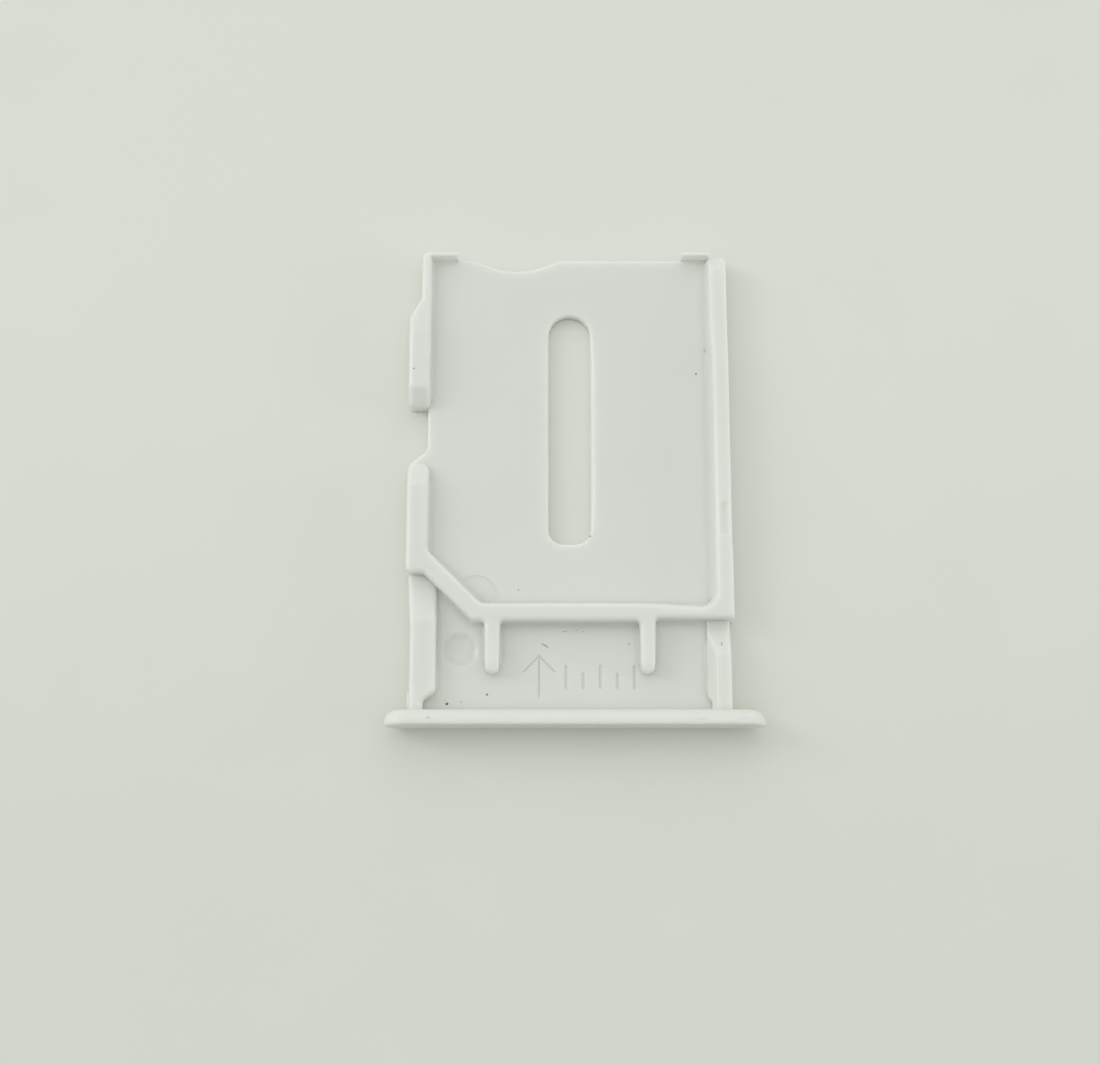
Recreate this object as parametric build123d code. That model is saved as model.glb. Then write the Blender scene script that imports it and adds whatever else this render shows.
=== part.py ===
from build123d import *
from math import cos, radians, sin, tan
import os

# Card tray of a phone: one moulding, pocket up, front plate towards -Y.
# +Y is the way it goes in, +Z is up, and the origin is under the middle of its box.

# Card that lies in the pocket
card_width = 12.0
card_length = 15.0
card_thickness = 0.76
card_clearance = 0.1  # gap in plan on each side of the card
card_end_room = 0.56  # more of it at the inner end
card_headroom = 0.04  # rail top above the card

# Floor
floor_thickness = 0.5
bay_recess = 0.06  # front bay's floor below the pocket's floor
floor_edge = 0.13  # rounding at the slot, the notch and the inner end

# Walls round the pocket
pocket_shift = -0.19  # pocket's middle from the front plate's middle
left_rail_width = 0.94
right_rail_width = 0.86
cross_wall = 0.76
thin_cross_wall = 0.66  # beyond the right prong
corner_leg = 2.3  # cut corner of the pocket
corner_wall = 0.81
corner_rounding = 0.45
inner_rounding = 0.5  # between the cross wall and the right rail
end_corner_rounding = 0.25
overlap = 0.15  # hidden reach of one form into the next
rim_rounding = 0.2  # top edges of rails and walls
rim_share = 0.46  # most of a thin wall that one rounding takes
band_rounding = 0.25  # right rail's top edge on the pocket
band_lean = 15  # degrees that its inner side leans back
band_foot = 0.06  # upright foot of that side
plan_rounding = 0.25  # upright corners

# Inner end, which goes in first
lip_thickness = 0.17
left_lip_length = 1.15
right_lip_length = 1.1
lead_drop = 0.22  # rails lie this much lower at the inner end
end_rounding = 0.38
lip_end_share = 0.48  # of a lip's thickness, taken by each rounding of its end
thin_end_share = 0.49  # of the thin wall, taken by each rounding of its end
scallop_width = 3.6
scallop_depth = 0.5
scallop_shift = -2.3  # scallop's middle from the pocket's middle

# Left rail, measured from the inner end
thin_wall = 0.44
thin_wall_length = 2.13
shoulder_run = 0.95
left_lead_from = 2.29
left_lead_run = 1.52
notch_from = 7.12
notch_flat = 1.86
notch_exit = 0.67
notch_reach = 0.12  # floor's edge in the notch beyond the pocket's side
notch_rounding = 0.45
heel_run = 0.8  # slope at the upper rail's end
heel_drop = 0.5
catch_drop = 0.5  # lower rail's start below its top
catch_run = 1.05
catch_rounding = 0.43
crease_rounding = 0.4
shoulder_rounding = 0.3

# Right rail, measured from the inner end
right_lead_from = 3.67
right_lead_run = 1.2
right_end_inset = 0.12  # its end behind the lip's outer side
right_nose_run = 0.7  # slope at its inner end
right_nose_drop = 0.3
detent_from = 12.22
detent_length = 1.57
detent_width = 0.5
detent_depth = 0.07
detent_inset = 0.28  # its middle from the rail's outer side
swell = 0.03
swell_from = 13.18
swell_run = 0.9

# Slot through the pocket's floor
slot_width = 1.83
slot_length = 10.41
slot_from = 2.8
slot_rounding = 0.65
slot_band = 0.28  # wider rounding of its right edge
slot_band_taper = 1.2  # where that narrows at both ends

# Front bay, between the cross wall and the front plate
bay_length = 3.82
left_step = 1.32  # from the pocket's front end
left_front_inset = 0.22
left_front_flare = 0.17  # wider where it starts
left_flare_run = 2.3
left_flare_rounding = 1.0
left_front_width = 1.12
left_neck_width = 0.59
left_dip_run = 0.47
left_ramp_run = 1.55
right_front_inset = 0.11
right_front_width = 1.0
right_neck_width = 0.82
right_dip_run = 0.37
right_ramp_run = 1.12
right_bevel = 0.38
right_bevel_height = 0.45
right_bevel_rim = 0.12
dip_drop = 0.65  # low point of the front rails below the rail top
front_rail_drop = 0.15
neck_length = 0.43
left_neck_slope = 0.4
right_neck_slope = 0.2
foot_rounding = 0.16

# Prongs on the cross wall
prong_from_corner = 0.875  # left prong's middle from the corner wall's outer bend
prong_from_right = 2.79  # right prong's middle from the pocket's right side
prong_width = 0.68
prong_tip_width = 0.6
prong_length = 2.21
prong_root_rounding = 0.2
prong_tip_share = 0.95  # of half the tip's width, taken by its rounding
prong_nose_run = 0.4
prong_nose_drop = 0.09

# Round marks of the mould's pins: radius, depth, wall run, place from the left rail and the cross wall
bay_mark_radius = 0.79
bay_mark_depth = 0.09
bay_mark_wall = 0.2
bay_mark_x = 1.4
bay_mark_y = 1.13
pocket_mark_radius = 0.93
pocket_mark_depth = 0.03
pocket_mark_x = 2.08
pocket_mark_y = 0.41

# Front plate
plate_width = 16.1
plate_height = 1.9
plate_thickness = 0.68
plate_back_rounding = 0.54
plate_front_rounding = 0.1
plate_sole_rounding = 0.3  # front edge underneath

# Levels
pocket_width = card_width + 2 * card_clearance
pocket_length = card_length + 2 * card_clearance + card_end_room
rail_top = floor_thickness + card_thickness + card_headroom
lead_top = rail_top - lead_drop
front_top = rail_top - front_rail_drop
dip_top = rail_top - dip_drop
above = rail_top + plate_height  # clear of everything

# Places along the tray
length = lip_thickness + pocket_length + cross_wall + bay_length + plate_thickness
inner_end = length / 2
pocket_end = inner_end - lip_thickness
right_end = inner_end - right_end_inset
pocket_front = pocket_end - pocket_length
wall_front = pocket_front - cross_wall
thin_front = pocket_front - thin_cross_wall
plate_back = wall_front - bay_length
plate_middle = plate_back - plate_thickness / 2
notch_end = inner_end - notch_from
notch_turn = notch_end - notch_flat
notch_out = notch_turn - notch_exit
step_y = pocket_front + left_step
prong_end = wall_front - prong_length

# Places across the tray
pocket_left = pocket_shift - pocket_width / 2
pocket_right = pocket_shift + pocket_width / 2
left_outer = pocket_left - left_rail_width
right_outer = pocket_right + right_rail_width
thin_outer = pocket_left - thin_wall
left_front = left_outer + left_front_inset
right_front = right_outer - right_front_inset
corner_bend = pocket_left + corner_leg + cross_wall - corner_wall * 2**0.5  # corner wall's outer bend
left_prong = corner_bend + prong_from_corner
right_prong = pocket_right - prong_from_right
left_lip = pocket_left + left_lip_length
right_lip = pocket_right - right_lip_length

lip_end_rounding = lip_end_share * lip_thickness
thin_end_rounding = thin_end_share * thin_wall
rim_radius = min(rim_rounding, rim_share * thin_wall)
lip_rim = min(rim_rounding, rim_share * lip_thickness)
steepest_top = 0.3  # least upward part of the normal of a face that counts as a top


def outline(*corners):
    # Closed face from corners of (x, y, rounding)
    points = [(x, y) for x, y, rounding in corners]
    roundings = [rounding for x, y, rounding in corners]
    return make_face(FilletPolyline(*points, radius=roundings, close=True))


def upright(*corners):
    # Solid of a plan outline, from the underside to above everything
    return extrude(outline(*corners), above)


def below_profile(*corners):
    # Everything below a side profile of (y, z, rounding), across the whole width
    return extrude(Plane.YZ * outline(*corners), plate_width, both=True)


def rim(solid):
    # Edges with an upward face on one side only
    upward = [face for face in solid.faces() if face.normal_at().Z > steepest_top]
    edges = ShapeList(edge for face in upward for edge in face.edges())
    return ShapeList(edge for edge in edges if edges.count(edge) == 1)


def soften_rim(solid, radius):
    return fillet(rim(solid), radius)


def make_lip(tip, rail_side, rail_rounding):
    # Low wall at the inner end, from its tip into the rail
    solid = extrude(
        outline(
            (tip, inner_end, lip_end_rounding),
            (tip, pocket_end, lip_end_rounding),
            (rail_side, pocket_end, 0),
            (rail_side, inner_end, rail_rounding),
        ),
        lead_top,
    )
    return soften_rim(solid, lip_rim)


def make_upper_rail():
    plan = upright(
        (thin_outer, inner_end, thin_end_rounding),
        (thin_outer, inner_end - thin_wall_length, shoulder_rounding),
        (left_outer, inner_end - thin_wall_length - shoulder_run, shoulder_rounding),
        (left_outer, notch_end, plan_rounding),
        (pocket_left, notch_end, plan_rounding),
        (pocket_left, inner_end, thin_end_rounding),
    )
    lead_start = inner_end - left_lead_from
    profile = below_profile(
        (inner_end, 0, 0),
        (inner_end, lead_top, 0),
        (lead_start, lead_top, crease_rounding),
        (lead_start - left_lead_run, rail_top, crease_rounding),
        (notch_end + heel_run, rail_top, crease_rounding),
        (notch_end, rail_top - heel_drop, 0),
        (notch_end, 0, 0),
    )
    rail = soften_rim(plan & profile, rim_radius)
    rail += make_lip(left_lip, thin_outer + thin_end_rounding, 0)
    return rail - make_end_cut(thin_outer, inner_end, -1)


def prong(middle, left_root, right_root):
    tip = prong_tip_width / 2
    tip_rounding = prong_tip_share * tip
    return (
        (middle - prong_width / 2, left_root, prong_root_rounding),
        (middle - tip, prong_end, tip_rounding),
        (middle + tip, prong_end, tip_rounding),
        (middle + prong_width / 2, right_root, prong_root_rounding),
    )


def make_frame():
    swell_start = inner_end - swell_from
    frame = extrude(
        outline(
            (pocket_left, notch_out, catch_rounding),
            (left_outer, notch_out, catch_rounding),
            (left_outer, step_y, plan_rounding),
            (corner_bend + wall_front - step_y, step_y, plan_rounding),
            (corner_bend, wall_front, corner_rounding),
            *prong(left_prong, wall_front, wall_front),
            *prong(right_prong, wall_front, thin_front),
            (right_outer + swell, thin_front, 0),
            (right_outer + swell, swell_start - swell_run, 0),
            (right_outer, swell_start, 0),
            (right_outer, right_end, 0),
            (pocket_right, right_end, end_corner_rounding),
            (pocket_right, pocket_front, inner_rounding),
            (pocket_left + corner_leg, pocket_front, corner_rounding),
            (pocket_left, pocket_front + corner_leg, corner_rounding),
        ),
        rail_top,
    )
    frame -= make_lead_cut() + make_catch_cut() + make_nose_cut()
    soft_edges = rim(frame)
    outer_edges = soft_edges.filter_by(lambda edge: edge.bounding_box().min.X > right_outer - overlap)
    frame = fillet([edge for edge in soft_edges if edge not in outer_edges], rim_radius)
    frame -= make_band_cut() + make_end_cut(right_outer, right_end, 1)
    return frame + make_lip(right_lip, pocket_right + overlap, lip_end_rounding)


def edge_section(level, radius, way):
    # What a rounding takes off a top edge, across the edge and up
    middle = radius * (1 - 0.5**0.5)
    arc = ThreePointArc((0, level - radius), (way * middle, level - middle), (way * radius, level))
    rest = Polyline(
        (way * radius, level),
        (way * radius, above),
        (-way * overlap, above),
        (-way * overlap, level - radius),
        (0, level - radius),
    )
    return make_face([arc, rest])


def band_width(level):
    # Plan width of the leaning side and its rounding
    lean = radians(band_lean)
    drop = band_rounding * (1 - sin(lean))
    return (level - drop - floor_thickness - band_foot) * tan(lean) + band_rounding * cos(lean)


def band_section(level, way):
    # What the leaning side and its rounding take off a wall, across the wall and up
    lean = radians(band_lean)
    half_way = radians((90 + band_lean) / 2)
    foot = floor_thickness + band_foot
    width = band_width(level)
    middle_x = width - band_rounding * cos(half_way)
    middle_z = level - band_rounding * (1 - sin(half_way))
    start_x = width - band_rounding * cos(lean)
    start_z = level - band_rounding * (1 - sin(lean))
    arc = ThreePointArc((way * start_x, start_z), (way * middle_x, middle_z), (way * width, level))
    rest = Polyline(
        (way * width, level),
        (way * width, above),
        (-way * overlap, above),
        (-way * overlap, foot),
        (0, foot),
        (way * start_x, start_z),
    )
    return make_face([arc, rest])


def band_place(y, level):
    # That section across the right rail
    return Plane.XZ.offset(-y) * Pos(pocket_right, 0) * band_section(level, 1)


def make_band_cut():
    # Leaning side along the right rail, round its corner and along the cross wall
    ramp_foot = inner_end - right_lead_from
    ramp_head = ramp_foot - right_lead_run
    turn_y = pocket_front + inner_rounding
    turn_x = pocket_right - inner_rounding
    sections = [
        band_place(inner_end + overlap, lead_top),
        band_place(ramp_foot, lead_top),
        band_place(ramp_head, rail_top),
        band_place(turn_y, rail_top),
    ]
    cut = Part()
    for start, end in zip(sections, sections[1:]):
        cut += loft([start, end])
    cut += revolve(sections[-1], Axis((turn_x, turn_y, 0), (0, 0, -1)), 90)
    wide = Plane.YZ.offset(turn_x) * Pos(pocket_front, 0) * band_section(rail_top, -1)
    narrow = Plane.YZ.offset(right_prong) * Pos(pocket_front + overlap, 0) * band_section(rail_top, -1)
    return cut + loft([wide, narrow])


def make_end_cut(x, y, outward):
    # Outside of a round corner at a rail's inner end
    side = end_rounding + overlap
    corner = Pos(outward * side / 2, side / 2) * Rectangle(side, side) - Circle(end_rounding)
    return Pos(x - outward * end_rounding, y - end_rounding, 0) * extrude(corner, above)


def make_lead_cut():
    # Slope at the right rail's inner end, and the ramp up to the rail's full height
    ramp_foot = inner_end - right_lead_from
    ramp_head = ramp_foot - right_lead_run
    profile = Plane.YZ * Polygon(
        (right_end - right_nose_run, lead_top),
        (right_end + right_nose_run, lead_top - 2 * right_nose_drop),
        (right_end + right_nose_run, above),
        (ramp_head - right_lead_run, rail_top + lead_drop),
        (ramp_head, rail_top),
        (ramp_foot, lead_top),
        align=None,
    )
    return Pos(pocket_shift, 0, 0) * extrude(profile, plate_width)


def make_catch_cut():
    # Ramp at the start of the lower left rail
    ramp_head = notch_out - catch_run
    steep = catch_drop / catch_run
    profile = Plane.YZ * Polygon(
        (ramp_head - catch_run, rail_top + catch_drop),
        (ramp_head + 2 * catch_run, rail_top - 2 * steep * catch_run),
        (ramp_head + 2 * catch_run, above),
        align=None,
    )
    return Pos(pocket_shift, 0, 0) * extrude(profile, -plate_width)


def make_nose_cut():
    # Slope at the prongs' tips
    nose = prong_end + prong_nose_run
    profile = Plane.YZ * Polygon(
        (nose + prong_nose_run, rail_top + prong_nose_drop),
        (nose - 2 * prong_nose_run, rail_top - 2 * prong_nose_drop),
        (nose - 2 * prong_nose_run, above),
        align=None,
    )
    return extrude(profile, plate_width, both=True)


def make_detent():
    # Shallow hollow in the right rail's top, where a spring holds the tray
    radius = (detent_width**2 / 4 + detent_depth**2) / (2 * detent_depth)
    straight = detent_length - detent_width
    ball = Sphere(radius)
    hollow = Rot(90, 0, 0) * Cylinder(radius, straight)
    hollow += Pos(0, straight / 2, 0) * ball
    hollow += Pos(0, -straight / 2, 0) * ball
    height = rail_top + radius - detent_depth
    return Pos(right_outer - detent_inset, inner_end - detent_from, height) * hollow


def make_floor():
    # The floor ends inside the walls, except at the notch and between the lips
    left_upper = pocket_left - thin_wall / 2
    left_lower = left_front + left_neck_width / 2
    right_side = right_front - right_neck_width / 2
    notch_x = pocket_left - notch_reach
    floor = extrude(
        outline(
            (left_lip - overlap, pocket_end, 0),
            (left_lip - overlap, pocket_end + overlap, 0),
            (left_upper, pocket_end + overlap, 0),
            (left_upper, notch_end + overlap, 0),
            (notch_x, notch_end + overlap, 0),
            (notch_x, notch_turn, notch_rounding),
            (left_outer, notch_out, notch_rounding),
            (left_outer, step_y, 0),
            (left_lower, step_y, 0),
            (left_lower, plate_middle, 0),
            (right_side, plate_middle, 0),
            (right_side, right_end - end_rounding, 0),
            (pocket_right + overlap / 2, right_end - end_rounding, 0),
            (pocket_right + overlap / 2, pocket_end + overlap, 0),
            (right_lip + overlap, pocket_end + overlap, 0),
            (right_lip + overlap, pocket_end, 0),
        ),
        floor_thickness,
    )
    floor -= make_scallop()
    floor -= make_slot()
    top_face = floor.faces().sort_by(Axis.Z)[-1]
    outer_edges = top_face.outer_wire().edges()
    open_edges = top_face.inner_wires()[0].edges()
    open_edges += outer_edges.filter_by_position(Axis.Y, pocket_end - scallop_depth, pocket_end)
    left_edges = outer_edges.filter_by(lambda edge: edge.center().X < notch_x + overlap)
    open_edges += left_edges.filter_by(lambda edge: edge.center().Y > step_y)
    floor = fillet(open_edges, floor_edge)
    return floor - make_slot_band() - make_bay_recess() - make_pin_marks()


def make_scallop():
    radius = (scallop_width**2 / 4 + scallop_depth**2) / (2 * scallop_depth)
    middle = pocket_shift + scallop_shift
    return Pos(middle, pocket_end + radius - scallop_depth, 0) * Cylinder(radius, above)


def make_slot():
    # Fully round towards the inner end, round corners towards the front
    half = slot_width / 2
    top = inner_end - slot_from
    bottom = top - slot_length
    flat_end = outline(
        (pocket_shift - half, top - half, 0),
        (pocket_shift - half, bottom, slot_rounding),
        (pocket_shift + half, bottom, slot_rounding),
        (pocket_shift + half, top - half, 0),
    )
    plan = flat_end + Pos(pocket_shift, top - half) * Circle(half)
    return extrude(plan, above, both=True)


def make_slot_band():
    # Wider rounding along the slot's right edge
    top = inner_end - slot_from - slot_width / 2
    bottom = inner_end - slot_from - slot_length + slot_rounding
    side = Pos(pocket_shift + slot_width / 2, 0)
    narrow = edge_section(floor_thickness, floor_edge, 1)
    wide = edge_section(floor_thickness, slot_band, 1)
    sections = [
        Plane.XZ.offset(-top) * side * narrow,
        Plane.XZ.offset(slot_band_taper - top) * side * wide,
        Plane.XZ.offset(-bottom - slot_band_taper) * side * wide,
        Plane.XZ.offset(-bottom) * side * narrow,
    ]
    band = Part()
    for start, end in zip(sections, sections[1:]):
        band += loft([start, end])
    return band


def make_bay_recess():
    # The step in the floor lies under the middle of the walls
    left_side = left_front + left_neck_width / 2
    right_side = right_front - right_neck_width / 2
    wall_middle = pocket_front - thin_cross_wall / 2
    corner_middle = pocket_left + pocket_front + corner_leg - corner_wall / 2**0.5
    plan = outline(
        (left_side, plate_middle, 0),
        (right_side, plate_middle, 0),
        (right_side, wall_middle, 0),
        (corner_middle - wall_middle, wall_middle, 0),
        (left_side, corner_middle - left_side, 0),
    )
    return Pos(0, 0, floor_thickness - bay_recess) * extrude(plan, above)


def make_pin_marks():
    bay_place = Pos(pocket_left + bay_mark_x, wall_front - bay_mark_y, floor_thickness - bay_recess)
    bay_mark = Cone(bay_mark_radius - bay_mark_wall, bay_mark_radius + bay_mark_wall, 2 * bay_mark_depth)
    pocket_place = Pos(pocket_left + pocket_mark_x, pocket_front + pocket_mark_y, floor_thickness)
    pocket_mark = Cylinder(pocket_mark_radius, 2 * pocket_mark_depth)
    return bay_place * bay_mark + pocket_place * pocket_mark


def make_front_rail(plan, start, dip_run, ramp_run):
    # Low behind the pocket's wall, then a ramp up to the level part at the front plate
    foot = start - dip_run
    profile = below_profile(
        (start + overlap, 0, 0),
        (start + overlap, dip_top, 0),
        (foot, dip_top, crease_rounding),
        (foot - ramp_run, front_top, crease_rounding),
        (plate_middle, front_top, 0),
        (plate_middle, 0, 0),
    )
    return plan & profile


def make_left_front_rail():
    inner = left_front + left_front_width
    neck = left_front + left_neck_width
    neck_start = plate_back + neck_length
    plan = upright(
        (left_front - left_front_flare, step_y + overlap, 0),
        (left_front, step_y - left_flare_run, left_flare_rounding),
        (left_front, plate_middle, 0),
        (neck, plate_middle, 0),
        (neck, neck_start, plan_rounding),
        (inner, neck_start + left_neck_slope, plan_rounding),
        (inner, step_y + overlap, 0),
    )
    return soften_rim(make_front_rail(plan, step_y, left_dip_run, left_ramp_run), rim_radius)


def make_right_front_rail():
    inner = right_front - right_front_width
    neck = right_front - right_neck_width
    neck_start = plate_back + neck_length
    plan = upright(
        (right_front, thin_front + overlap, 0),
        (inner, thin_front + overlap, 0),
        (inner, neck_start + right_neck_slope, plan_rounding),
        (neck, neck_start, plan_rounding),
        (neck, plate_middle, 0),
        (right_front, plate_middle, 0),
    )
    rail = make_front_rail(plan, thin_front, right_dip_run, right_ramp_run)
    bevel = Plane.XZ * Polygon(
        (inner - right_bevel, front_top - 2 * right_bevel_height),
        (inner + 2 * right_bevel, front_top + right_bevel_height),
        (inner - right_bevel, front_top + right_bevel_height),
        align=None,
    )
    return soften_rim(rail - extrude(bevel, length, both=True), right_bevel_rim)


def make_feet():
    # Roundings between the front rails' outer sides and the front plate
    feet = Part()
    for side, outward in ((left_front, -1), (right_front, 1)):
        reach = foot_rounding + overlap
        middle = side + outward * (foot_rounding - overlap) / 2
        block = Pos(middle, plate_back + (foot_rounding - overlap) / 2) * Rectangle(reach, reach)
        block -= Pos(side + outward * foot_rounding, plate_back + foot_rounding) * Circle(foot_rounding)
        height = front_top - rim_radius - plate_back_rounding
        feet += Pos(0, 0, plate_back_rounding) * extrude(block, height)
    return feet


def make_front_plate():
    face = Plane.XZ.offset(-plate_back) * Pos(0, plate_height / 2) * SlotOverall(plate_width, plate_height)
    plate = extrude(face, plate_thickness)
    plate = fillet(plate.edges().group_by(Axis.Y)[-1], plate_back_rounding)
    plate = fillet(plate.edges().group_by(Axis.Y)[0], plate_front_rounding)
    side = below_profile(
        (plate_back + overlap, -overlap, 0),
        (plate_back + overlap, above, 0),
        (plate_back - plate_thickness, above, 0),
        (plate_back - plate_thickness, 0, plate_sole_rounding),
        (plate_back - plate_thickness / 3, 0, 0),
        (plate_back - plate_thickness / 3, -overlap, 0),
    )
    return plate & side


tray = make_floor() + make_upper_rail() + (make_frame() - make_detent())
tray += make_left_front_rail() + make_right_front_rail() + make_feet() + make_front_plate()

os.makedirs("parts", exist_ok=True)
export_step(tray, "parts/card_tray.step")
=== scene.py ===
import bpy
import math
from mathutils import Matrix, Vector


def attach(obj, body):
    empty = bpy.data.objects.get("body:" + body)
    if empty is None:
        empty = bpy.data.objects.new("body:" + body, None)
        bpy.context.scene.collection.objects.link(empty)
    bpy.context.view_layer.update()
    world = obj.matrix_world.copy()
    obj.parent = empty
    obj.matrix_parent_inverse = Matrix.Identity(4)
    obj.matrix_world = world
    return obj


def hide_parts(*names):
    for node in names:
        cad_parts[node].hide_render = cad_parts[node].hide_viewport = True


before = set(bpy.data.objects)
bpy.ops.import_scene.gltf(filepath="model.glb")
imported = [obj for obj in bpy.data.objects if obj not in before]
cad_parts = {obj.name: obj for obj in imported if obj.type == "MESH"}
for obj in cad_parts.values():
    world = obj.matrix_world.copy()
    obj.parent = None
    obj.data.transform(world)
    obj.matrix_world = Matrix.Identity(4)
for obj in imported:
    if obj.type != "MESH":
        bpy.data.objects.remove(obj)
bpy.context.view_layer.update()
mm = 0.001

scene = bpy.context.scene
scene.view_settings.view_transform = "Standard"
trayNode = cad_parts["card_tray"]


def deselectAll():
    if bpy.context.mode != "OBJECT":
        bpy.ops.object.mode_set(mode="OBJECT")
    bpy.ops.object.select_all(action="DESELECT")


def pick(piece):
    deselectAll()
    piece.select_set(True)
    bpy.context.view_layer.objects.active = piece


def newMaterial(name):
    material = bpy.data.materials.new(name)
    material.use_nodes = True
    tree = material.node_tree
    shader = tree.nodes["Principled BSDF"]
    return material, tree, shader


def link(tree, fromSocket, toSocket):
    tree.links.new(fromSocket, toSocket)


def addMath(tree, operation, first, second):
    node = tree.nodes.new("ShaderNodeMath")
    node.operation = operation
    for socket, value in zip(node.inputs, (first, second)):
        if isinstance(value, (int, float)):
            socket.default_value = value
        else:
            link(tree, value, socket)
    return node.outputs["Value"]


def addRange(tree, value, low, high, toLow, toHigh, smooth=False):
    node = tree.nodes.new("ShaderNodeMapRange")
    node.interpolation_type = "SMOOTHSTEP" if smooth else "LINEAR"
    link(tree, value, node.inputs["Value"])
    node.inputs["From Min"].default_value = low
    node.inputs["From Max"].default_value = high
    node.inputs["To Min"].default_value = toLow
    node.inputs["To Max"].default_value = toHigh
    return node.outputs["Result"]


def addNoise(tree, place, size, detail):
    node = tree.nodes.new("ShaderNodeTexNoise")
    link(tree, place, node.inputs["Vector"])
    node.inputs["Scale"].default_value = 1 / size
    node.inputs["Detail"].default_value = detail
    return node.outputs["Fac"]


def addMix(tree, share, first, second):
    node = tree.nodes.new("ShaderNodeMix")
    node.data_type = "RGBA"
    link(tree, share, node.inputs["Factor"])
    for socket, colour in ((node.inputs["A"], first), (node.inputs["B"], second)):
        if isinstance(colour, tuple):
            socket.default_value = colour
        else:
            link(tree, colour, socket)
    return node.outputs["Result"]


# camera, above the tray and a little towards its front plate
cameraSet = {
    "aim": (-1.04 * mm, -1.985 * mm, 0.0),
    "distance": 82 * mm,
    "tilt": 13.0,  # degrees off the vertical
    "focalPixels": 1880,
    "framePixels": 1100,
    "sensor": 36.0,
    "near": 1 * mm,
    "far": 20,
}


def makeCamera(s):
    tilt = math.radians(s["tilt"])
    back = Vector((0, -math.sin(tilt), math.cos(tilt)))
    place = Vector(s["aim"]) + back * s["distance"]
    bpy.ops.object.camera_add(location=place, rotation=(tilt, 0, 0))
    camera = bpy.context.active_object
    camera.name = "tableCamera"
    camera.data.sensor_width = s["sensor"]
    camera.data.lens = s["focalPixels"] / s["framePixels"] * s["sensor"]
    camera.data.clip_start = s["near"]
    camera.data.clip_end = s["far"]
    scene.camera = camera


deselectAll()
makeCamera(cameraSet)
print("camera set")

# soft light: a sky that is brighter above and behind the tray,
# a tall weak lamp at the left and a low fill at the right
lightSet = {
    "skyLevel": 0.78,
    "skyBack": 0.29,  # more of it from behind, less from the front
    "skyLeft": 0.10,  # more of it from the left, less from the right
    "skyTop": 0.50,  # more of it from above, less from the horizon
    "seenSky": (0.672, 0.700, 0.638, 1),
    "lampDistance": 0.4,
    # share of a plain level on a flat surface, elevation, where from, width and height
    "lamps": {
        "leftLamp": (0.075, 30.0, (-0.95, 0.31), 0.12, 0.26),
        "rightFill": (0.030, 12.0, (1.00, -0.05), 0.20, 0.10),
    },
}


def makeLight(s):
    world = bpy.data.worlds.new("softSky")
    scene.world = world
    world.use_nodes = True
    tree = world.node_tree
    sky = tree.nodes["Background"]
    sky.inputs["Color"].default_value = (1, 1, 1, 1)
    direction = tree.nodes.new("ShaderNodeTexCoord")
    split = tree.nodes.new("ShaderNodeSeparateXYZ")
    link(tree, direction.outputs["Generated"], split.inputs["Vector"])
    upward = addMath(tree, "MULTIPLY", split.outputs["Z"], s["skyTop"])
    backward = addMath(tree, "MULTIPLY", split.outputs["Y"], s["skyBack"])
    sideward = addMath(tree, "MULTIPLY", split.outputs["X"], -s["skyLeft"])
    graded = addMath(tree, "ADD", upward, addMath(tree, "ADD", backward, sideward))
    skyBase = s["skyLevel"] - s["skyTop"] * 2 / 3  # so a level surface gets skyLevel
    level = addMath(tree, "ADD", graded, skyBase)
    link(tree, level, sky.inputs["Strength"])
    seen = tree.nodes.new("ShaderNodeBackground")
    seen.inputs["Color"].default_value = s["seenSky"]
    path = tree.nodes.new("ShaderNodeLightPath")
    mix = tree.nodes.new("ShaderNodeMixShader")
    mirrored = addMath(tree, "MAXIMUM", path.outputs["Is Glossy Ray"], path.outputs["Is Transmission Ray"])
    isSeen = addMath(tree, "MAXIMUM", path.outputs["Is Camera Ray"], mirrored)
    link(tree, isSeen, mix.inputs["Fac"])
    link(tree, sky.outputs["Background"], mix.inputs[1])
    link(tree, seen.outputs["Background"], mix.inputs[2])
    link(tree, mix.outputs["Shader"], tree.nodes["World Output"].inputs["Surface"])

    for name, (share, elevation, comesFrom, width, height) in s["lamps"].items():
        rise = math.radians(elevation)
        across = Vector((comesFrom[0], comesFrom[1], 0)).normalized() * math.cos(rise)
        toLamp = across + Vector((0, 0, math.sin(rise)))
        bpy.ops.object.light_add(type="AREA", location=toLamp * s["lampDistance"])
        lamp = bpy.context.active_object
        lamp.name = name
        lamp.rotation_euler = toLamp.to_track_quat("Z", "Y").to_euler()
        lamp.data.shape = "ELLIPSE"
        lamp.data.size = width
        lamp.data.size_y = height
        lamp.data.energy = share * math.pi**2 * s["lampDistance"] ** 2 / math.sin(rise)
        lamp.visible_camera = False


makeLight(lightSet)
print("light set")

# table under the tray, its colour painted darker towards the front as painted shade where the light falls
# off
tableSet = {
    "size": 3.0,
    "backColour": (0.775, 0.807, 0.736, 1),
    # the front colour is painted shade: the table darkens towards the front in place of the light falling
    # off there
    "paintedShadeFrontColour": (0.725, 0.756, 0.688, 1),
    "backAt": 12 * mm,
    "frontAt": -24 * mm,
    "mottleSize": 6 * mm,
    "mottleDetail": 3,
    "mottleSpan": (0.3, 0.7),
    "mottleShare": 0.108,  # of the way from the back colour to the front one
    "grainSize": 0.12 * mm,
    "grainDetail": 2,
    "grainBump": 0.04,
    "grainDepth": 0.02 * mm,
    "roughness": 0.6,
    "specular": 0.2,
}


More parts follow.
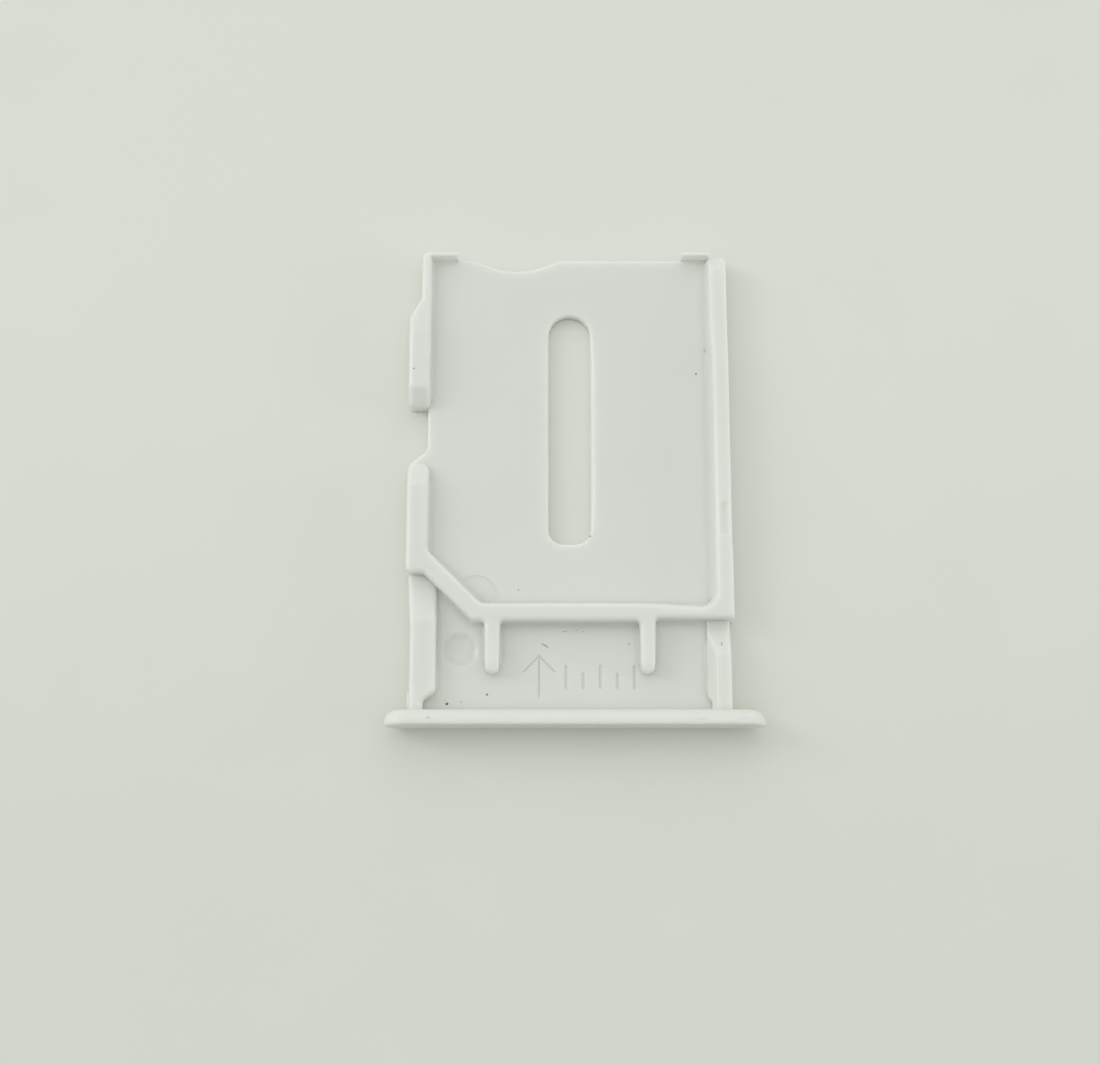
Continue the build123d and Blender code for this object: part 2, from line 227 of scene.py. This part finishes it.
def makeTable(s):
    deselectAll()
    bpy.ops.mesh.primitive_plane_add(size=s["size"], location=(0, 0, 0))
    table = bpy.context.active_object
    table.name = "tableTop"
    material, tree, shader = newMaterial("paleTable")
    place = tree.nodes.new("ShaderNodeTexCoord").outputs["Object"]
    split = tree.nodes.new("ShaderNodeSeparateXYZ")
    link(tree, place, split.inputs["Vector"])
    # painted shade: the colour goes from the back colour to the darker front colour, standing in for the
    # light's falloff
    paintedShadeToFront = addRange(tree, split.outputs["Y"], s["backAt"], s["frontAt"], 0, 1, smooth=True)
    mottle = addNoise(tree, place, s["mottleSize"], s["mottleDetail"])
    shift = addRange(tree, mottle, *s["mottleSpan"], -s["mottleShare"], s["mottleShare"])
    share = addMath(tree, "ADD", paintedShadeToFront, shift)
    graded = addMix(tree, share, s["backColour"], s["paintedShadeFrontColour"])
    link(tree, graded, shader.inputs["Base Color"])
    bump = tree.nodes.new("ShaderNodeBump")
    bump.inputs["Strength"].default_value = s["grainBump"]
    bump.inputs["Distance"].default_value = s["grainDepth"]
    link(tree, addNoise(tree, place, s["grainSize"], s["grainDetail"]), bump.inputs["Height"])
    link(tree, bump.outputs["Normal"], shader.inputs["Normal"])
    shader.inputs["Roughness"].default_value = s["roughness"]
    shader.inputs["Specular IOR Level"].default_value = s["specular"]
    table.data.materials.append(material)


makeTable(tableSet)
print("table laid")

# white plastic of the tray, with the specks and marks of use on it
plasticSet = {
    "colour": (0.758, 0.784, 0.738, 1),
    "paleColour": (0.770, 0.795, 0.747, 1),
    "dirtColour": (0.090, 0.085, 0.065, 1),
    "brightColour": (0.86, 0.88, 0.84, 1),
    "mottleSize": 4 * mm,
    "softDetail": 1,
    "softSpan": (0.2, 0.8),
    "dullRoughness": 0.33,
    "brightRoughness": 0.27,
    "glossSize": 2.5 * mm,
    "grainSize": 0.09 * mm,
    "grainDetail": 2,
    "grainBump": 0.02,
    "grainDepth": 0.01 * mm,
    "scatter": 0.45 * mm,
    "scatterRadius": (1.0, 1.0, 1.0),
    # x, y, z, half length, half width in millimetres, turn in degrees, strength
    "specks": (
        (0.69, -2.26, 0.50, 0.060, 0.055, 0, 0.75),
        (5.41, 5.09, 0.50, 0.060, 0.050, 20, 0.70),
        (-6.26, -2.09, 1.30, 0.050, 0.040, 0, 0.50),
        (-7.00, 5.09, 1.28, 0.050, 0.045, 0, 0.60),
        (-5.42, -9.56, 0.44, 0.075, 0.065, 30, 0.95),
        (-4.82, -9.48, 0.44, 0.055, 0.035, 10, 0.35),
        (-3.72, -9.16, 0.44, 0.055, 0.050, 0, 0.95),
        (-2.06, -9.82, 0.44, 0.045, 0.035, 0, 0.40),
        (-4.53, -4.73, 1.28, 0.075, 0.045, -40, 0.55),
        (-2.40, -4.63, 0.50, 0.045, 0.040, 0, 0.50),
        (5.82, 6.16, 0.52, 0.110, 0.070, 70, 0.25),
        (5.89, -0.80, 1.10, 0.150, 0.030, 90, 0.45),
        (-1.25, -7.05, 0.44, 0.210, 0.040, -33, 0.55),
        (2.34, -6.98, 0.44, 0.080, 0.035, 60, 0.40),
        (6.26, -7.05, 1.00, 0.130, 0.030, 90, 0.55),
        (-0.40, -6.44, 0.50, 0.160, 0.030, 8, 0.40),
        (0.10, -6.40, 0.52, 0.110, 0.025, -14, 0.35),
        (0.37, -6.45, 0.50, 0.090, 0.025, 20, 0.30),
        (-6.12, -10.32, 1.88, 0.060, 0.035, 0, 0.30),
    ),
    "brightMarks": (
        (-2.37, -6.75, 0.44, 0.290, 0.022, 90, 0.55),
        (6.26, -7.24, 1.06, 0.045, 0.045, 0, 0.80),
    ),
    "markHeight": 0.15,  # half of what a mark reaches up and down
    "markEdge": (0.55, 1.1),  # where a mark starts to fade and where it ends, in half lengths
}


def addMarks(tree, place, marks, s):
    # soft ellipses, the strongest of them at each point
    strongest = 0.0
    for x, y, z, halfLength, halfWidth, turn, strength in marks:
        mapping = tree.nodes.new("ShaderNodeMapping")
        mapping.vector_type = "TEXTURE"
        mapping.inputs["Location"].default_value = (x * mm, y * mm, z * mm)
        mapping.inputs["Rotation"].default_value = (0, 0, math.radians(turn))
        mapping.inputs["Scale"].default_value = (halfLength * mm, halfWidth * mm, s["markHeight"] * mm)
        link(tree, place, mapping.inputs["Vector"])
        far = tree.nodes.new("ShaderNodeVectorMath")
        far.operation = "LENGTH"
        link(tree, mapping.outputs["Vector"], far.inputs[0])
        mark = addRange(tree, far.outputs["Value"], *s["markEdge"], strength, 0, smooth=True)
        strongest = addMath(tree, "MAXIMUM", mark, strongest)
    return strongest


def makePlastic(s):
    material, tree, shader = newMaterial("whiteTrayPlastic")
    place = tree.nodes.new("ShaderNodeTexCoord").outputs["Object"]
    mottle = addRange(tree, addNoise(tree, place, s["mottleSize"], s["softDetail"]), *s["softSpan"], 0, 1)
    colour = addMix(tree, mottle, s["colour"], s["paleColour"])
    colour = addMix(tree, addMarks(tree, place, s["brightMarks"], s), colour, s["brightColour"])
    colour = addMix(tree, addMarks(tree, place, s["specks"], s), colour, s["dirtColour"])
    link(tree, colour, shader.inputs["Base Color"])
    gloss = addNoise(tree, place, s["glossSize"], s["softDetail"])
    roughness = addRange(tree, gloss, *s["softSpan"], s["brightRoughness"], s["dullRoughness"])
    link(tree, roughness, shader.inputs["Roughness"])
    bump = tree.nodes.new("ShaderNodeBump")
    bump.inputs["Strength"].default_value = s["grainBump"]
    bump.inputs["Distance"].default_value = s["grainDepth"]
    link(tree, addNoise(tree, place, s["grainSize"], s["grainDetail"]), bump.inputs["Height"])
    link(tree, bump.outputs["Normal"], shader.inputs["Normal"])
    shader.inputs["Subsurface Weight"].default_value = 1.0
    shader.inputs["Subsurface Radius"].default_value = s["scatterRadius"]
    shader.inputs["Subsurface Scale"].default_value = s["scatter"]
    return material


plastic = makePlastic(plasticSet)
print("plastic mixed")

# the tray itself, worked on in millimetres and then brought back to metres
shellSet = {
    "mergeGap": 0.0005,
    "smoothAngle": 42.0,
    "levels": (0.44, 0.50, 1.30),  # floors and rail tops, shaded level right up to their roundings
    "levelGap": 0.002,
    "steepest": 0.80,  # least upward part of the normal of a face that starts level there
    "conePart": (0.90, 0.98),  # the mould marks' slopes, which stay as they are
}


def copyTray(s):
    shell = bpy.data.objects.new("trayShell", trayNode.data.copy())
    scene.collection.objects.link(shell)
    pick(shell)
    shell.scale = (1 / mm, 1 / mm, 1 / mm)
    bpy.ops.object.transform_apply(location=False, rotation=False, scale=True)
    bpy.ops.mesh.customdata_custom_splitnormals_clear()
    bpy.ops.object.mode_set(mode="EDIT")
    bpy.ops.mesh.select_all(action="SELECT")
    bpy.ops.mesh.remove_doubles(threshold=s["mergeGap"])
    bpy.ops.object.mode_set(mode="OBJECT")
    return shell


def cutOrJoin(shell, tool, operation):
    pick(shell)
    modifier = shell.modifiers.new(operation, "BOOLEAN")
    modifier.operation = operation
    modifier.solver = "EXACT"
    modifier.object = tool
    bpy.ops.object.modifier_apply(modifier=modifier.name)
    bpy.data.objects.remove(tool)


def joinTools(tools):
    deselectAll()
    for tool in tools:
        tool.select_set(True)
    bpy.context.view_layer.objects.active = tools[0]
    bpy.ops.object.join()
    return tools[0]


shell = copyTray(shellSet)
print("tray copied", len(shell.data.polygons))

# coves where the walls stand on the floor, each from one end of its run to the other
coveSet = {
    "sink": 0.08,  # into the wall and the floor
    "edge": 0.012,  # its thin edges' depth
    "hollow": 0.32,  # of the leg, at the middle of the cove
    "climb": 0.03,  # above the leg, where it runs on into a wall that leans away
    "taper": 0.25,  # beyond each end of a run, where the cove dies away
    "endShare": 0.12,  # of the section, left at the end of the taper
    "pocketFloor": 0.50,
    # start and end of each run in millimetres, and the cove's leg
    "pocketRuns": (
        ((-6.29, 10.30), (-6.29, 3.95), 0.20),
        ((-6.29, 0.10), (-6.29, -3.10), 0.20),
        ((-6.32, -3.00), (-3.95, -5.37), 0.20),
        ((-4.02, -5.335), (5.55, -5.335), 0.16),
    ),
    # long foot of the leaning right rail, in the same way
    "leanRun": ((5.91, -4.98), (5.91, 10.20)),
    "leanOut": 0.085,
    "leanUp": 0.46,
    "lean": 0.268,  # of the side, into the rail for each step up
    "leanReach": 2.0,  # of leanOut, where its cove meets the floor
    "leanBends": (0.3, 0.5),  # of leanOut, the first bend's height and the second one's place
    "bayFloor": 0.44,
    "bayRuns": (
        ((-4.35, -6.095), (-6.42, -4.025), 0.17),
        ((-3.17, -6.05), (-3.20, -7.80), 0.17),
        ((-3.80, -7.80), (-3.83, -6.05), 0.17),
        ((2.82, -7.80), (2.79, -6.05), 0.17),
        ((3.45, -6.00), (3.42, -7.80), 0.17),
        ((2.85, -6.095), (-3.20, -6.095), 0.17),
        ((-3.80, -6.095), (-4.20, -6.095), 0.17),
        ((5.70, -5.995), (3.40, -5.995), 0.17),
        ((-5.89, -5.60), (-5.89, -8.80), 0.17),
        ((5.66, -9.00), (5.66, -6.90), 0.17),
        ((-6.30, -9.915), (5.75, -9.915), 0.17),
    ),
}


def coveSection(leg, s):
    return (
        (-s["sink"], -s["sink"]),
        (leg, -s["sink"]),
        (leg, -s["edge"]),
        (s["hollow"] * leg, s["hollow"] * leg),
        (-s["edge"], leg),
        (-s["sink"], leg + s["climb"]),
    )


def leanSection(s):
    # a small cove at the floor, then straight up to the leaning side
    foot = s["leanReach"] * s["leanOut"]
    top = -s["edge"] - s["lean"] * s["leanUp"]
    return (
        (-s["sink"], -s["sink"]),
        (foot, -s["sink"]),
        (foot, -s["edge"]),
        (s["leanOut"], s["leanBends"][0] * s["leanOut"]),
        (s["leanBends"][1] * s["leanOut"], s["leanOut"]),
        (top, s["leanUp"]),
        (top - s["sink"], s["leanUp"]),
    )


def makeCove(start, end, floor, corners, s):
    # the wall is at the right of the way from start to end
    along = Vector(end) - Vector(start)
    deselectAll()
    bpy.ops.mesh.primitive_circle_add(vertices=len(corners), radius=1, fill_type="NGON")
    cove = bpy.context.active_object
    for vertex, (out, up) in zip(cove.data.vertices, corners):
        vertex.co = (-s["taper"], out, up)
    bpy.ops.object.mode_set(mode="EDIT")
    bpy.ops.mesh.select_all(action="SELECT")
    for step in (s["taper"], along.length, s["taper"]):
        bpy.ops.mesh.extrude_region_move(TRANSFORM_OT_translate={"value": (step, 0, 0)})
    bpy.ops.mesh.select_all(action="SELECT")
    bpy.ops.mesh.normals_make_consistent(inside=False)
    bpy.ops.object.mode_set(mode="OBJECT")
    for vertex in cove.data.vertices:
        if not -s["taper"] / 2 < vertex.co.x < along.length + s["taper"] / 2:
            vertex.co.y = s["endShare"] * (vertex.co.y + s["sink"]) - s["sink"]
            vertex.co.z = s["endShare"] * (vertex.co.z + s["sink"]) - s["sink"]
    cove.rotation_euler = (0, 0, math.atan2(along.y, along.x))
    cove.location = (start[0], start[1], floor)
    bpy.ops.object.transform_apply(location=True, rotation=True, scale=False)
    return cove


def addCoves(shell, s):
    for start, end, leg in s["pocketRuns"]:
        cutOrJoin(shell, makeCove(start, end, s["pocketFloor"], coveSection(leg, s), s), "UNION")
    start, end = s["leanRun"]
    cutOrJoin(shell, makeCove(start, end, s["pocketFloor"], leanSection(s), s), "UNION")
    for start, end, leg in s["bayRuns"]:
        cutOrJoin(shell, makeCove(start, end, s["bayFloor"], coveSection(leg, s), s), "UNION")


addCoves(shell, coveSet)
print("coves on", len(shell.data.polygons))

# engraved arrow, the way the tray goes in, and a row of ticks beside it
engravingSet = {
    "floor": 0.44,
    "depth": 0.055,
    "arrowWidth": 0.12,
    "tickWidth": 0.17,
    "sideRun": 0.03,  # how far the groove's sides lean in
    "endRound": 0.45,  # of the width, at the groove's ends
    "endSegments": 4,
    "arrow": (
        ((-1.51, -9.25), (-1.51, -7.50)),
        ((-2.16, -8.17), (-1.51, -7.50)),
        ((-0.86, -8.17), (-1.51, -7.50)),
    ),
    "tickFrom": -0.36,
    "tickGap": 0.73,
    "tickFeet": -8.87,
    "tickHeads": (-7.96, -8.28, -7.96, -8.28, -7.96),
}


def makeGroove(start, end, width, s):
    along = Vector(end) - Vector(start)
    middle = (Vector(end) + Vector(start)) / 2
    deselectAll()
    bpy.ops.mesh.primitive_cube_add(size=1, location=(0, 0, 0))
    bar = bpy.context.active_object
    bar.scale = (along.length + width, width, 2 * s["depth"])
    bpy.ops.object.transform_apply(location=False, rotation=False, scale=True)
    bpy.ops.object.mode_set(mode="EDIT")
    bpy.ops.mesh.select_mode(type="EDGE")
    bpy.ops.mesh.select_all(action="DESELECT")
    bpy.ops.object.mode_set(mode="OBJECT")
    for edge in bar.data.edges:
        low, high = (bar.data.vertices[i].co for i in edge.vertices)
        edge.select = abs(low.z - high.z) > s["depth"]  # the upright ones
    bpy.ops.object.mode_set(mode="EDIT")
    bpy.ops.mesh.bevel(offset=s["endRound"] * width, segments=s["endSegments"], affect="EDGES")
    bpy.ops.mesh.select_mode(type="VERT")
    bpy.ops.object.mode_set(mode="OBJECT")
    narrow = 1 - 2 * s["sideRun"] / width
    for vertex in bar.data.vertices:
        if vertex.co.z < 0:
            vertex.co.x -= math.copysign(s["sideRun"], vertex.co.x)
            vertex.co.y *= narrow
    bar.rotation_euler = (0, 0, math.atan2(along.y, along.x))
    bar.location = (middle.x, middle.y, s["floor"])
    bpy.ops.object.transform_apply(location=True, rotation=True, scale=True)
    return bar


def engrave(shell, s):
    for start, end in s["arrow"]:
        cutOrJoin(shell, makeGroove(start, end, s["arrowWidth"], s), "DIFFERENCE")
    ticks = []
    for count, head in enumerate(s["tickHeads"]):
        x = s["tickFrom"] + count * s["tickGap"]
        ticks.append(makeGroove((x, s["tickFeet"]), (x, head), s["tickWidth"], s))
    cutOrJoin(shell, joinTools(ticks), "DIFFERENCE")


engrave(shell, engravingSet)
print("mark engraved", len(shell.data.polygons))

# nicks in the plate's top edge
nickSet = {
    # x, y, z, half length, half width, half depth, turn
    "nicks": (
        (-6.12, -10.33, 1.900, 0.13, 0.050, 0.045, 12),
        (5.29, -10.39, 1.905, 0.24, 0.055, 0.045, -4),
        (5.05, -10.36, 1.905, 0.10, 0.040, 0.035, 38),
        (7.08, -10.34, 1.960, 0.42, 0.110, 0.100, 0),
    ),
}


def makeNicks(shell, s):
    for x, y, z, halfLength, halfWidth, halfDepth, turn in s["nicks"]:
        deselectAll()
        bpy.ops.mesh.primitive_ico_sphere_add(subdivisions=3, radius=1)
        cutter = bpy.context.active_object
        cutter.scale = (halfLength, halfWidth, halfDepth)
        cutter.rotation_euler = (0, 0, math.radians(turn))
        cutter.location = (x, y, z)
        bpy.ops.object.transform_apply(location=True, rotation=True, scale=True)
        cutOrJoin(shell, cutter, "DIFFERENCE")


makeNicks(shell, nickSet)
print("plate nicked", len(shell.data.polygons))

# thin burr on the left front rail's outer edge
burrSet = {
    "middle": (-7.03, -9.47, 0.97),
    "halfSize": (0.06, 0.31, 0.035),
    "reach": (0.030, 0.075, 0.050, 0.085, 0.040),  # outwards, from the back to the front
    "edgeShare": 0.4,  # of its thickness, left at the outer edge
}


def makeBurr(shell, s):
    deselectAll()
    bpy.ops.mesh.primitive_grid_add(x_subdivisions=2, y_subdivisions=8, size=2)
    burr = bpy.context.active_object
    burr.scale = (s["halfSize"][0], s["halfSize"][1], 1)
    bpy.ops.object.transform_apply(location=False, rotation=False, scale=True)
    bpy.ops.object.mode_set(mode="EDIT")
    bpy.ops.mesh.select_all(action="SELECT")
    bpy.ops.mesh.extrude_region_move(TRANSFORM_OT_translate={"value": (0, 0, 2 * s["halfSize"][2])})
    bpy.ops.mesh.select_all(action="SELECT")
    bpy.ops.mesh.normals_make_consistent(inside=False)
    bpy.ops.object.mode_set(mode="OBJECT")
    last = len(s["reach"]) - 1
    for vertex in burr.data.vertices:
        if vertex.co.x < -0.5 * s["halfSize"][0]:
            share = (1 - vertex.co.y / s["halfSize"][1]) / 2 * last
            first = min(int(share), last - 1)
            reach = s["reach"][first] + (s["reach"][first + 1] - s["reach"][first]) * (share - first)
            vertex.co.x = -reach
            vertex.co.z = s["halfSize"][2] + s["edgeShare"] * (vertex.co.z - s["halfSize"][2])
    burr.location = (s["middle"][0], s["middle"][1], s["middle"][2] - s["halfSize"][2])
    bpy.ops.object.transform_apply(location=True, rotation=False, scale=False)
    cutOrJoin(shell, burr, "UNION")


makeBurr(shell, burrSet)
print("burr on", len(shell.data.polygons))


def levelNormals(mesh, s):
    normals = [Vector(corner.vector) for corner in mesh.corner_normals]
    for face in mesh.polygons:
        upward = face.normal.z
        if upward < s["steepest"]:
            continue
        for corner in face.loop_indices:
            height = mesh.vertices[mesh.loops[corner].vertex_index].co.z / mm
            if s["conePart"][0] < upward < s["conePart"][1]:
                normals[corner] = Vector(face.normal)
            elif any(abs(height - level) < s["levelGap"] for level in s["levels"]):
                normals[corner] = Vector((0, 0, 1))
    mesh.normals_split_custom_set(normals)


def finishShell(shell, s):
    pick(shell)
    shell.scale = (mm, mm, mm)
    bpy.ops.object.transform_apply(location=False, rotation=False, scale=True)
    bpy.ops.object.shade_smooth_by_angle(angle=math.radians(s["smoothAngle"]))
    weighted = shell.modifiers.new("levelFaces", "WEIGHTED_NORMAL")
    weighted.keep_sharp = True
    bpy.ops.object.modifier_apply(modifier=weighted.name)
    levelNormals(shell.data, s)
    shell.data.materials.clear()
    shell.data.materials.append(plastic)
    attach(shell, "root")
    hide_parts("card_tray")


finishShell(shell, shellSet)
print("tray finished")
